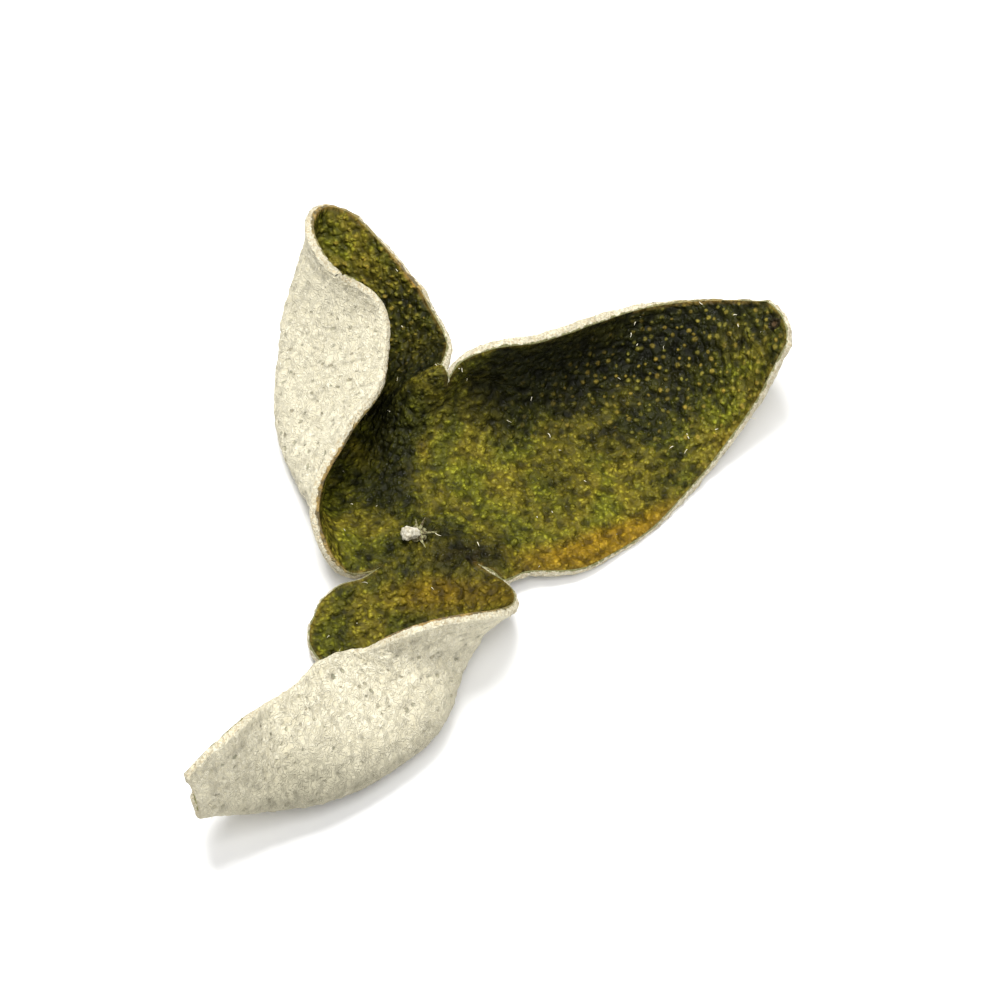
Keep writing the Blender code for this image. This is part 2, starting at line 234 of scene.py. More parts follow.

# Patches of the skin and the pith on the flattened peel: petal (None where petals join),
# middle, half length, half width, heading of the length, strength.
# Painted shade, partly darker skin: under overhanging margins, beside the curl, by the stem.
PAINTED_SHADE = [
    (SPOON_INDEX, (22, 35), 20, 9, 25, 1.0),
    (SPOON_INDEX, (46, 38), 24, 8, 18, 1.0),
    (SPOON_INDEX, (44, 24), 14, 5, 30, 0.6),
    (SPOON_INDEX, (48, 12), 8, 4, 60, 0.45),
    (SPOON_INDEX, (26, 12), 5, 9, 60, 0.4),
    (SPOON_INDEX, (22, 3), 6, 4, 20, 0.3),
    (ROLL_INDEX, (-14, 33), 26, 7, 125, 1.0),
    (ROLL_INDEX, (-38, 46), 14, 8, 160, 0.5),
    (ROLL_INDEX, (-5, 12), 7, 5, 110, 0.75),
    (TAIL_INDEX, (-14, -23), 12, 5, 60, 0.2),
    (None, (8, -3), 7, 4, 0, 0.7),
]
AMBER = [
    (SPOON_INDEX, (33, -2.5), 13, 3.8, 18, 1.0),
    (SPOON_INDEX, (45, 2), 7, 3.5, 40, 0.6),
    (SPOON_INDEX, (18, -4), 8, 3, 0, 0.35),
    (SPOON_INDEX, (63, 19), 10, 4, 45, 0.35),
    (None, (2, 18), 4, 2.2, 100, 0.4),
    (TAIL_INDEX, (2, -12), 14, 4.8, 0, 0.55),
    (TAIL_INDEX, (16, -13), 9, 4, 160, 0.35),
    (ROLL_INDEX, (-12, -3), 7, 3, 160, 0.25),
    (ROLL_INDEX, (-58, 50), 14, 4, 155, 0.2),
]
# Brighter yellow-green skin, partly painted light where the ridge and slopes face the lamps.
BRIGHT_PATCHES = [
    (SPOON_INDEX, (13, 14), 9, 9, 30, 0.8),
    (SPOON_INDEX, (36, 12), 9, 8, 20, 0.6),
    (SPOON_INDEX, (30, 3), 14, 5, 18, 0.7),
    (SPOON_INDEX, (62, 22), 12, 7, 35, 0.3),
    (None, (4, 19), 11, 4, 80, 0.35),
    (ROLL_INDEX, (-15, 2), 9, 7, 150, 0.45),
    (ROLL_INDEX, (-58, 46), 13, 10, 150, 0.35),
    (TAIL_INDEX, (-8, -16), 10, 6, 30, 0.45),
]
STARS = [
    (SPOON_INDEX, (54, 36), 22, 10, 22, 1.0),
    (SPOON_INDEX, (64, 24), 16, 10, 35, 0.9),
    (SPOON_INDEX, (30, 14), 30, 18, 20, 0.25),
    (ROLL_INDEX, (-52, 50), 22, 18, 140, 1.0),
    (TAIL_INDEX, (0, -70), 30, 25, 100, 0.8),
]
BRUISE = [
    (None, (9, -5), 7, 2.8, 0, 1.0),
    (None, (3, 1), 3, 2, 0, 0.7),
    (TAIL_INDEX, (14, -12), 7, 3, 0, 0.5),
    (TAIL_INDEX, (-2, -17), 9, 3, 20, 0.45),
]
SCAR = [(SPOON_INDEX, (72.6, 38.6), 1.4, 1.2, 20, 1.0)]
# Painted shade on the pith where the petals curl under and away from the lamps.
PITH_PAINTED_SHADE = [
    (TAIL_INDEX, (12, -58), 28, 7, 95, 0.9),
    (TAIL_INDEX, (18, -66), 13, 6, 95, 0.9),
    (ROLL_INDEX, (-62, 24), 14, 10, 60, 0.3),
    (ROLL_INDEX, (-48, 12), 24, 12, 150, 0.25),
]
RUST = [
    (ROLL_INDEX, (-23, -8), 12, 7, 190, 1.0),
    (TAIL_INDEX, (26, -24), 10, 8, 150, 1.0),
    (ROLL_INDEX, (-50, 56), 16, 5, 165, 0.9),
    (ROLL_INDEX, (-63, 42), 9, 12, 90, 0.9),
    (ROLL_INDEX, (-46, -3), 20, 6, 178, 0.8),
    (TAIL_INDEX, (34, -60), 20, 8, 90, 0.5),
    (SPOON_INDEX, (60, 45), 12, 4, 5, 0.5),
]
ZONES = {
    "painted_shade": PAINTED_SHADE,
    "amber": AMBER,
    "bright_patches": BRIGHT_PATCHES,
    "stars": STARS,
    "bruise": BRUISE,
    "scar": SCAR,
    "pith_painted_shade": PITH_PAINTED_SHADE,
    "rust": RUST,
}

# Camera, floor and lights, in metres and watts. The lens and the sensor are in millimetres.
VIEW_ELEVATION = 58.5
VIEW_WIDTH = 0.185
VIEW_TARGET = (0.00118, 0.0063, 0.0061)
LENS = 300.0
SENSOR = 36.0
FLOOR_HALF = 2.0
SURROUND_STRENGTH = 0.42
BACK_LIGHT = {"place": (-0.1, 0.3, 0.95), "size": 0.45, "energy": 12.5}
FRONT_FILL = {"place": (0.1, -0.35, 0.95), "size": 0.5, "energy": 5.0}

# Colours of the skin, the pith, the cut, the stem button and the floor, as linear values.
DEEP_GREEN = (0.012, 0.013, 0.003)
OLIVE = (0.122, 0.121, 0.008)
EARTH = (0.165, 0.120, 0.012)
MOSS = (0.055, 0.056, 0.005)
FRESH_GREEN = (0.34, 0.345, 0.028)
FRESH_YELLOW = (0.47, 0.375, 0.034)
GOLD = (0.40, 0.28, 0.04)
GOLD_GREEN = (0.27, 0.25, 0.04)
AMBER_DARK = (0.25, 0.150, 0.008)
AMBER_LIGHT = (0.50, 0.315, 0.02)
BRUISE_BROWN = (0.020, 0.015, 0.004)
SCAR_BROWN = (0.10, 0.06, 0.025)
PITH_GREY = (0.63, 0.575, 0.405)
PITH_CREAM = (0.77, 0.71, 0.515)
PITH_WHITE = (0.86, 0.81, 0.64)
PITH_SHADE = (0.42, 0.39, 0.28)
DIMPLE_GREEN = (0.20, 0.22, 0.13)
DIMPLE_BROWN = (0.30, 0.24, 0.14)
CUT_BROWN = (0.12, 0.075, 0.025)
CUT_AMBER = (0.38, 0.23, 0.05)
CUT_GREEN = (0.19, 0.19, 0.06)
RIM_TAN = (0.50, 0.38, 0.20)
STALK_DARK = (0.48, 0.43, 0.31)
STALK_PALE = (0.74, 0.69, 0.56)
CALYX_BROWN = (0.07, 0.05, 0.02)
CALYX_GREEN = (0.30, 0.29, 0.14)
FLOOR_WHITE = (0.93, 0.93, 0.93)

# Stem button: the stub's (share of its length, share of its radius), the calyx's widths from
# the skin up, and each sepal's heading, length and climb. Its seat clears the skin round it.
STUB_LENGTH = 3.4
STUB_RADIUS = 1.15
STUB_LEAN = (-0.78, -0.42, 0.62)
STUB_PROFILE = [
    (0.0, 0.7), (0.1, 0.82), (0.25, 0.85), (0.4, 0.9), (0.55, 0.96), (0.7, 1.05),
    (0.8, 1.12), (0.88, 1.15), (0.94, 1.08), (0.98, 0.9), (1.0, 0.5), (1.01, 0.2),
]
CALYX_RADIUS = 1.7
CALYX_SHARES = (0.9, 1.1, 1.2, 1.5, 1.2, 0.55)
SEAT_REACH = 2.2
SEPALS = [(100.0, 2.3, 24.0), (62.0, 3.0, 20.0), (-5.0, 3.6, 12.0), (-68.0, 3.8, 6.0)]
SEPAL_RADIUS = 0.34
SEPAL_TIP = 0.05
SEPAL_FLATNESS = 0.35
SEPAL_CURL = 0.25
BUTTON_LIFT = 0.3
BUTTON_SHAKE = 0.1
BUTTON_SHAKE_SIZE = 0.8
BUTTON_SHAKE_SEEDS = (1.0, 5.0, 9.0)

# Loose threads of pith: how many, their seed, and their least and greatest length and
# radius. The fringe's threads lean out of the pith and start near the margin. A thread
# bends and lifts by a share of its length.
SPECKS = 80
SPECK_SEED = 4
SPECK_LENGTH = (0.25, 1.1)
SPECK_RADIUS = (0.05, 0.13)
FRINGE = 420
FRINGE_SEED = 9
FRINGE_LENGTH = (0.4, 1.2)
FRINGE_RADIUS = (0.04, 0.08)
FRINGE_LEAN = (0.1, 0.7)
FRINGE_BAND = 2.5
THREAD_BEND = 0.6
THREAD_LIFT = 0.35


def ease(x, start, end):
    """Smooth step from 0 at start to 1 at end."""
    t = np.clip((x - start) / (end - start), 0.0, 1.0)
    return t * t * (3.0 - 2.0 * t)


def slopes(gaps, steps):
    """Slope at each station, kept small enough that the curve never overshoots."""
    inner = (steps[:-1] * gaps[1:] + steps[1:] * gaps[:-1]) / (gaps[1:] + gaps[:-1])
    limit = 3.0 * np.minimum(np.abs(steps[:-1]), np.abs(steps[1:]))
    inner = np.sign(inner) * np.minimum(np.abs(inner), limit)
    inner[steps[:-1] * steps[1:] <= 0.0] = 0.0
    return np.concatenate([steps[:1], inner, steps[-1:]])


def along(stations, t):
    """Value at t of a smooth curve through the stations (share of length, value)."""
    at = np.array([station[0] for station in stations], float)
    value = np.array([station[1] for station in stations], float)
    gaps = np.diff(at)
    slope = slopes(gaps, np.diff(value) / gaps)
    t = np.clip(np.asarray(t, float), at[0], at[-1])
    i = np.clip(np.searchsorted(at, t, side="right") - 1, 0, len(gaps) - 1)
    f = (t - at[i]) / gaps[i]
    start = (2 * f**3 - 3 * f**2 + 1) * value[i] + (f**3 - 2 * f**2 + f) * gaps[i] * slope[i]
    end = (3 * f**2 - 2 * f**3) * value[i + 1] + (f**3 - f**2) * gaps[i] * slope[i + 1]
    return start + end


def rib_points(points, t):
    """Smooth 3-D curve through the midrib's points at equal steps of t."""
    points = np.array(points, float)
    last = len(points) - 1
    tangent = np.gradient(points, axis=0)
    i = np.minimum((t * last).astype(int), last - 1)
    f = (t * last - i)[:, None]
    start = (2 * f**3 - 3 * f**2 + 1) * points[i] + (f**3 - 2 * f**2 + f) * tangent[i]
    end = (3 * f**2 - 2 * f**3) * points[i + 1] + (f**3 - f**2) * tangent[i + 1]
    return start + end


def normalised(vectors):
    return vectors / np.linalg.norm(vectors, axis=-1, keepdims=True)


class Petal:
    """One petal: where each point (s along the midrib, u across it, right positive) lies."""

    STEPS = 200
    FINE_STEPS = 2000

    def __init__(self, values, left_sector, right_sector, left_slit, right_slit):
        self.values = values
        self.sector = (left_sector, right_sector)
        self.slit = (left_slit, right_slit)
        fine = np.linspace(0.0, 1.0, self.FINE_STEPS + 1)
        curve = rib_points(values["midrib"], fine)
        run = np.concatenate([[0.0], np.cumsum(np.linalg.norm(np.diff(curve, axis=0), axis=1))])
        self.length = run[-1]
        stations = np.linspace(0.0, self.length, self.STEPS + 1)
        self.rib = rib_points(values["midrib"], np.interp(stations, run, fine))
        self.ahead = normalised(np.gradient(self.rib, stations, axis=0))
        level = normalised(np.cross(self.ahead, [0.0, 0.0, 1.0]))
        upright = np.cross(level, self.ahead)
        bank = np.radians(along(values["bank"], stations / self.length))[:, None]
        self.across = level * np.cos(bank) - upright * np.sin(bank)
        self.up = upright * np.cos(bank) + level * np.sin(bank)

    def pick(self, name, t, right):
        """Value of one side's stations, the right side's where right is true."""
        left_value = along(self.values["left"][name], t)
        right_value = along(self.values["right"][name], t)
        return np.where(right, right_value, left_value)

    def ring(self, rho, tau):
        """Point (s, u) of the ring at distance rho from the stem: tau is -1 left, 1 right."""
        right = tau > 0.0
        angle = np.radians(np.where(right, self.sector[1], self.sector[0])) * tau
        t = rho / self.length
        leaf_s = rho - self.pick("bow", t, right) * tau**2
        leaf_u = self.pick("width", t, right) * tau
        slit = np.where(right, self.slit[1], self.slit[0])
        leaf = ease(rho, slit - LEAF_LEAD, slit + self.values["settle"])
        s = rho * np.cos(angle) * (1.0 - leaf) + leaf_s * leaf
        u = rho * np.sin(angle) * (1.0 - leaf) + leaf_u * leaf
        return s, u

    def frame_at(self, s):
        """Midrib point and the across and up directions at s."""
        f = np.clip(s / self.length * self.STEPS, 0.0, self.STEPS - 1e-6)
        i = f.astype(int)
        f = (f - i)[..., None]
        beyond = (s - np.clip(s, 0.0, self.length))[..., None]
        point, ahead, across, up = (
            table[i] * (1.0 - f) + table[i + 1] * f
            for table in (self.rib, self.ahead, self.across, self.up)
        )
        return point + ahead * beyond, across, up

    def place(self, s, u):
        """Point of the curled sheet at (s, u), by adding up the turn of the cross section."""
        point, across, up = self.frame_at(s)
        t = np.clip(s / self.length, 0.0, 1.0)
        right = u > 0.0
        turn = np.radians(self.pick("turn", t, right))[..., None]
        lip = np.radians(self.pick("lip", t, right))[..., None]
        start = np.where(right, self.values["right"]["fold_from"], self.values["left"]["fold_from"])
        end = self.pick("fold_to", t, right)
        reach = np.abs(u) / TURN_WIDTH
        x = reach[..., None] * (np.arange(CURL_STEPS) + 0.5) / CURL_STEPS
        angle = turn * ease(x, start[..., None], end[..., None]) + lip * ease(x, LIP_FROM, 1.0)
        out = np.cos(angle).mean(axis=-1) * u
        rise = np.sin(angle).mean(axis=-1) * np.abs(u)
        return point + across * out[..., None] + up * rise[..., None]


def make_petals():
    """The three petals, with the sectors that their shared borders at the stem give."""
    spoon = Petal(
        SPOON,
        SPOON_SHOULDER - SPOON["axis"],
        SPOON["axis"] + 360.0 - TAIL_FRONT,
        SLIT_SPOON_ROLL,
        SLIT_TAIL_SPOON,
    )
    roll = Petal(
        ROLL,
        ROLL_BACK - ROLL["axis"],
        ROLL["axis"] - SPOON_SHOULDER,
        SLIT_ROLL_TAIL,
        SLIT_SPOON_ROLL,
    )
    tail = Petal(
        TAIL,
        TAIL_FRONT - TAIL["axis"],
        TAIL["axis"] - ROLL_BACK,
        SLIT_TAIL_SPOON,
        SLIT_ROLL_TAIL,
    )
    return [spoon, roll, tail]


def seam_share(tau_out, rho, slit):
    """How much of the neighbour's shape a point takes: half at the border, none past the slit."""
    near = 1.0 - ease(1.0 - tau_out, 0.0, SEAM_BAND)
    joined = 1.0 - ease(rho, slit, slit + SEAM_FADE)
    return 0.5 * near * joined


def sheet(petals, index, rho, tau):
    """Middle of the peel's thickness at (rho, tau) of one petal, blended with its neighbours."""
    own = petals[index]
    point = own.place(*own.ring(rho, tau))
    left = petals[(index + 1) % 3]
    right = petals[(index - 1) % 3]
    past_left = 1.0 + (1.0 + tau) * own.sector[0] / left.sector[1]
    past_right = -1.0 - (1.0 - tau) * own.sector[1] / right.sector[0]
    share_left = np.where(tau < 0.0, seam_share(-tau, rho, own.slit[0]), 0.0)
    share_right = np.where(tau > 0.0, seam_share(tau, rho, own.slit[1]), 0.0)
    from_left = left.place(*left.ring(rho, past_left))
    from_right = right.place(*right.ring(rho, past_right))
    return (
        point
        + (from_left - point) * share_left[..., None]
        + (from_right - point) * share_right[..., None]
    )


def open_slits(petal, rho, tau):
    """Pulls the margins back a little beyond each slit's end, so that neighbours part."""
    slit = np.where(tau > 0.0, petal.slit[1], petal.slit[0])
    sector = np.radians(np.where(tau > 0.0, petal.sector[1], petal.sector[0]))
    gap = SLIT_GAP * ease(rho, slit, slit + SLIT_OPENS)
    arc = np.maximum(sector * rho, 1.0)
    return tau * (1.0 - gap / arc)


def ring_stations(petal):
    """Distances of the fine rings from the stem: the inner ones are the same on every petal."""
    inner = GRAIN * np.arange(1, round(COMMON_REACH / GRAIN) + 1)
    count = round((petal.length - inner[-1]) / GRAIN)
    outer = np.linspace(inner[-1], petal.length, count + 1)[1:]
    return np.concatenate([inner, outer])


def ring_counts(petals, index, stations):
    """Number of points on each ring, so that they lie about one grain apart."""
    rho, tau = np.meshgrid(stations, np.linspace(-1.0, 1.0, RING_SAMPLES), indexing="ij")
    points = sheet(petals, index, rho, tau)
    length = np.linalg.norm(np.diff(points, axis=1), axis=2).sum(axis=1)
    return np.maximum(3, 2 * np.round(length / GRAIN / 2.0).astype(int) + 1)


def flat_place(petal, rho, tau):
    """Place on the flattened peel, in millimetres from the stem."""
    s, u = petal.ring(rho, tau)
    heading = math.radians(petal.values["axis"])
    x = s * math.cos(heading) + u * math.sin(heading)
    y = s * math.sin(heading) - u * math.cos(heading)
    return np.stack([x, y], axis=-1)


def petal_shares(petals, index, rho, tau):
    """How much of each petal a point belongs to, level across the borders they share."""
    own = petals[index]
    left = np.where(tau < 0.0, seam_share(-tau, rho, own.slit[0]), 0.0)
    right = np.where(tau > 0.0, seam_share(tau, rho, own.slit[1]), 0.0)
    share = np.zeros((len(rho), 3))
    share[:, index] = 1.0 - left - right
    share[:, (index + 1) % 3] += left
    share[:, (index - 1) % 3] += right
    return share


def zip_rows(inner, outer):
    """Triangles between two rings whose numbers of points may differ."""
    triangles = []
    i = 0
    j = 0
    while i < len(inner) - 1 or j < len(outer) - 1:
        if j * (len(inner) - 1) <= i * (len(outer) - 1) and j < len(outer) - 1:
            triangles.append((inner[i], outer[j], outer[j + 1]))
            j += 1
        else:
            triangles.append((inner[i], outer[j], inner[i + 1]))
            i += 1
    return triangles


def lay_out_sheet(petals):
    """Middle surface of the whole peel as arrays, with the triangles between its points."""
    points = [np.zeros((1, 3))]
    flat = [np.zeros((1, 2))]
    shares = [np.full((1, 3), 1.0 / 3.0)]
    triangles = []
    border = {}
    total = 1
    for index, petal in enumerate(petals):
        stations = ring_stations(petal)
        counts = ring_counts(petals, index, stations)
        last = [0]
        rho = []
        tau = []
        for number, (station, count) in enumerate(zip(stations, counts)):
            places = np.linspace(-1.0, 1.0, count)
            ends = {0: (index, petal.slit[0]), count - 1: ((index - 1) % 3, petal.slit[1])}
            row = []
            for column, place in enumerate(places):
                key, slit = ends.get(column, (None, 0.0))
                if station <= slit and (key, number) in border:
                    row.append(border[(key, number)])
                    continue
                row.append(total)
                if station <= slit:
                    border[(key, number)] = total
                rho.append(station)
                tau.append(place)
                total += 1
            triangles.extend(zip_rows(last, row))
            last = row
        rho = np.array(rho)
        tau = open_slits(petal, rho, np.array(tau))
        points.append(sheet(petals, index, rho, tau))
        flat.append(flat_place(petal, rho, tau))
        shares.append(petal_shares(petals, index, rho, tau))
    return {
        "points": np.concatenate(points),
        "flat": np.concatenate(flat),
        "shares": np.concatenate(shares),
        "triangles": np.array(triangles),
    }


def point_normals(points, triangles):
    a, b, c = (points[triangles[:, k]] for k in range(3))
    facing = np.cross(b - a, c - a)
    normals = np.zeros_like(points)
    for k in range(3):
        np.add.at(normals, triangles[:, k], facing)
    return normalised(normals)


def margin_loop(triangles):
    """Points round the torn margin, in order."""
    edges = np.concatenate([triangles[:, [0, 1]], triangles[:, [1, 2]], triangles[:, [2, 0]]])
    known = {tuple(edge) for edge in edges.tolist()}
    after = {a: b for a, b in known if (b, a) not in known}
    loop = [min(after)]
    while after[loop[-1]] != loop[0]:
        loop.append(after[loop[-1]])
    return np.array(loop)


def margin_distance(points, loop):
    """Distance of each point from the nearest point of the margin."""
    tree = KDTree(len(loop))
    for number, point in enumerate(points[loop]):
        tree.insert(point, number)
    tree.balance()
    return np.array([tree.find(point)[2] for point in points])


def rough(places, scale, octaves=3, seed=0.0):
    """Smooth noise from about -1 to 1 at each place, with features of that size."""
    at = np.asarray(places) / scale + seed
    places = [Vector(place) for place in at.tolist()]
    return np.array([noise.fractal(place, NOISE_FADE, NOISE_FINER, octaves) for place in places])


def put(tree, kind, inputs=None, **settings):
    """Adds a node, sets its options and fills its inputs with values or sockets."""
    made = tree.nodes.new(kind)
    for name, value in settings.items():
        setattr(made, name, value)
    for key, value in (inputs or {}).items():
        if isinstance(value, bpy.types.NodeSocket):
            tree.links.new(value, made.inputs[key])
        else:
            made.inputs[key].default_value = value
    return made


def calc(tree, operation, a, b=0.0):
    return put(tree, "ShaderNodeMath", {0: a, 1: b}, operation=operation).outputs[0]


def band(tree, value, low, high, start=0.0, end=1.0):
    """Smooth change from start, where the value is low, to end, where it is high.

    Low may be the larger of the two.
    """
    inputs = {"Value": value, "From Min": low, "From Max": high, "To Min": start, "To Max": end}
    made = put(tree, "ShaderNodeMapRange", inputs, interpolation_type="SMOOTHSTEP")
    return made.outputs["Result"]


def tint(tree, factor, a, b, blend_type="MIX"):
    """Mix of two colours."""
    made = put(tree, "ShaderNodeMix", data_type="RGBA", blend_type=blend_type)
    for key, value in ((0, factor), (6, a), (7, b)):
        if isinstance(value, bpy.types.NodeSocket):
            tree.links.new(value, made.inputs[key])
        else:
            made.inputs[key].default_value = (*value, 1.0) if key > 0 else value
    return made.outputs[2]


def cloud(tree, vector, size, detail=2.0, roughness=0.5):
    """Noise with features of that size in millimetres."""
    inputs = {"Vector": vector, "Scale": 1.0 / size, "Detail": detail, "Roughness": roughness}
    return put(tree, "ShaderNodeTexNoise", inputs)


def warped(tree, vector, size, reach):
    """The places, pushed about by up to reach millimetres, so that cells aren't regular."""
    push = cloud(tree, vector, size, 1.0).outputs["Color"]
    inputs = {0: push, 1: (0.5, 0.5, 0.5)}
    both_ways = put(tree, "ShaderNodeVectorMath", inputs, operation="SUBTRACT").outputs[0]
    inputs = {0: both_ways, "Scale": 2.0 * reach}
    scaled = put(tree, "ShaderNodeVectorMath", inputs, operation="SCALE").outputs[0]
    return put(tree, "ShaderNodeVectorMath", {0: vector, 1: scaled}, operation="ADD").outputs[0]


def cells(tree, vector, spacing, randomness, dimensions="2D"):
    """Cells about that many millimetres apart, with the distance from the nearest middle."""
    inputs = {"Vector": vector, "Scale": 1.0 / spacing, "Randomness": randomness}
    return put(tree, "ShaderNodeTexVoronoi", inputs, voronoi_dimensions=dimensions)


def gland_cells(tree, flat):
    return cells(tree, warped(tree, flat, GLAND_SPACING * 2.0, 0.5), GLAND_SPACING, 0.7)


def dimple_cells(tree, flat):
    return cells(tree, warped(tree, flat, DIMPLE_SPACING * 2.0, 0.8), DIMPLE_SPACING, 0.9)


def group_with(name, inputs, outputs):
    """A shader node group with its sockets, and the two ends inside it."""
    tree = bpy.data.node_groups.new(name, "ShaderNodeTree")
    for socket, kind, value in inputs:
        made = tree.interface.new_socket(socket, in_out="INPUT", socket_type="NodeSocket" + kind)
        if value is not None:
            made.default_value = value
    for socket, kind in outputs:
        tree.interface.new_socket(socket, in_out="OUTPUT", socket_type="NodeSocket" + kind)
    return tree, tree.nodes.new("NodeGroupInput").outputs, tree.nodes.new("NodeGroupOutput").inputs


def new_material(name, roughness, gloss=0.5):
    material = bpy.data.materials.new(name)
    material.use_nodes = True
    shader = material.node_tree.nodes["Principled BSDF"]
    shader.inputs["Roughness"].default_value = roughness
    shader.inputs["Specular IOR Level"].default_value = gloss
    return material, material.node_tree, shader


def read(tree, name, output="Fac"):
    """A number or vector that the mesh keeps for each point."""
    return put(tree, "ShaderNodeAttribute", attribute_name=name).outputs[output]


def times(tree, *factors):
    product = factors[0]
    for factor in factors[1:]:
        product = calc(tree, "MULTIPLY", product, factor)
    return product


def total(tree, *terms):
    added = terms[0]
    for term in terms[1:]:
        added = calc(tree, "ADD", added, term)
    return added


def centred(tree, value):
    """A noise's value, moved so that its middle is zero."""
    return calc(tree, "SUBTRACT", value, 0.5)


def cell_numbers(tree, pattern):
    """Three numbers from 0 to 1 that each cell of a pattern has for itself."""
    return put(tree, "ShaderNodeSeparateColor", {0: pattern.outputs["Color"]}).outputs


def grain_group():
    """Shared fine uneven brightness of dried skin, pith and stalk, and painted shade in hollows."""
    inputs = [
        ("Vector", "Vector", None),
        ("Size", "Float", 1.0),
        ("Low", "Float", 0.8),
        ("Rise", "Float", 1.0),
        ("Hollow Shade", "Float", 0.8),
    ]
    tree, given, result = group_with("dried_grain", inputs, [("Shade", "Color")])
    scale = calc(tree, "DIVIDE", 1.0, given["Size"])
    noise_inputs = {"Vector": given["Vector"], "Scale": scale, "Detail": 4.0, "Roughness": 0.65}
    cloudy = put(tree, "ShaderNodeTexNoise", noise_inputs).outputs["Fac"]
    fine = band(tree, cloudy, 0.3, 0.7, given["Low"], 1.0)
    unshaded = band(tree, given["Rise"], 0.0, 1.0, given["Hollow Shade"], 1.0)
    shade = calc(tree, "MULTIPLY", fine, unshaded)
    colour = put(tree, "ShaderNodeCombineColor", {0: shade, 1: shade, 2: shade}).outputs[0]
    tree.links.new(colour, result["Shade"])
    return tree


def dried(tree, colour, vector, size, low, rise=1.0, hollow_shade=1.0):
    """The colour with the shared grain and the painted shade in hollows over it."""
    inputs = {"Vector": vector, "Size": size, "Low": low, "Rise": rise, "Hollow Shade": hollow_shade}
    shade = put(tree, "ShaderNodeGroup", inputs, node_tree=GRAIN_GROUP).outputs["Shade"]
    return tint(tree, 1.0, colour, shade, "MULTIPLY")


def bump(tree, shader, height, reach, strength):
    inputs = {"Height": height, "Distance": reach * MM, "Strength": strength}
    made = put(tree, "ShaderNodeBump", inputs)
    tree.links.new(made.outputs["Normal"], shader.inputs["Normal"])


def skin_light(tree, place, mottled):
    """How light the skin is painted: 0 under painted shade, up to 1 on brighter patches."""
    unshaded_skin = calc(tree, "SUBTRACT", 1.0, read(tree, "painted_shade"))
    patchy = cloud(tree, place, PATCH_SIZE, 2.0).outputs["Fac"]
    bright_patches = times(tree, calc(tree, "ADD", read(tree, "bright_patches"), 0.42), unshaded_skin)
    broad = times(tree, centred(tree, patchy), unshaded_skin, 1.1)
    close = times(tree, centred(tree, mottled), unshaded_skin, 1.3)
    return band(tree, total(tree, bright_patches, broad, close), 0.0, 1.0)


def gland_star(tree, gland, own):
    """Raised middle of each gland, 1 inside and falling to 0 at its rim."""
    size = band(tree, own[1], 0.0, 1.0, GLAND_RADIUS * 0.6, GLAND_RADIUS)
    inner = calc(tree, "MULTIPLY", size, 0.3)
    fall = calc(tree, "SUBTRACT", size, gland.outputs["Distance"])
    return band(tree, calc(tree, "DIVIDE", fall, calc(tree, "SUBTRACT", size, inner)), 0.0, 1.0)


def green_skin(tree, place, lit, knob, mottled):
    """Olive skin with brighter flecks on its knobs, and amber where it has ripened."""
    base = tint(tree, lit, DEEP_GREEN, OLIVE)
    earthy = band(tree, cloud(tree, place, EARTH_SIZE, 3.0).outputs["Fac"], 0.4, 0.6, 0.0, 0.7)
    base = tint(tree, times(tree, earthy, lit), base, EARTH)
    fleck = times(tree, knob, band(tree, lit, 0.0, 0.6, 0.25, 1.0))
    fleck_colour = tint(tree, lit, MOSS, tint(tree, earthy, FRESH_GREEN, FRESH_YELLOW))
    base = tint(tree, fleck, base, fleck_colour)
    amber = read(tree, "amber")
    turned = calc(tree, "ADD", amber, times(tree, amber, mottled))
    ripe = tint(tree, knob, AMBER_DARK, AMBER_LIGHT)
    return tint(tree, band(tree, turned, 0.15, 1.25), base, ripe)


def aged_skin(tree, base, mottled):
    """The skin with its bruises, its scar and the brown line along the torn margin."""
    blotch = band(tree, mottled, 0.32, 0.6)
    base = tint(tree, times(tree, read(tree, "bruise"), blotch), base, BRUISE_BROWN)
    scar = read(tree, "scar")
    old = tint(tree, band(tree, scar, 0.72, 0.9), BRUISE_BROWN, SCAR_BROWN)
    base = tint(tree, band(tree, scar, 0.32, 0.45), base, old)
    near_edge = band(tree, read(tree, "margin"), 0.9, 0.1)
    rusty = band(tree, read(tree, "rust"), 0.0, 1.0, 0.25, 1.0)
    return tint(tree, times(tree, near_edge, rusty, blotch), base, CUT_AMBER)


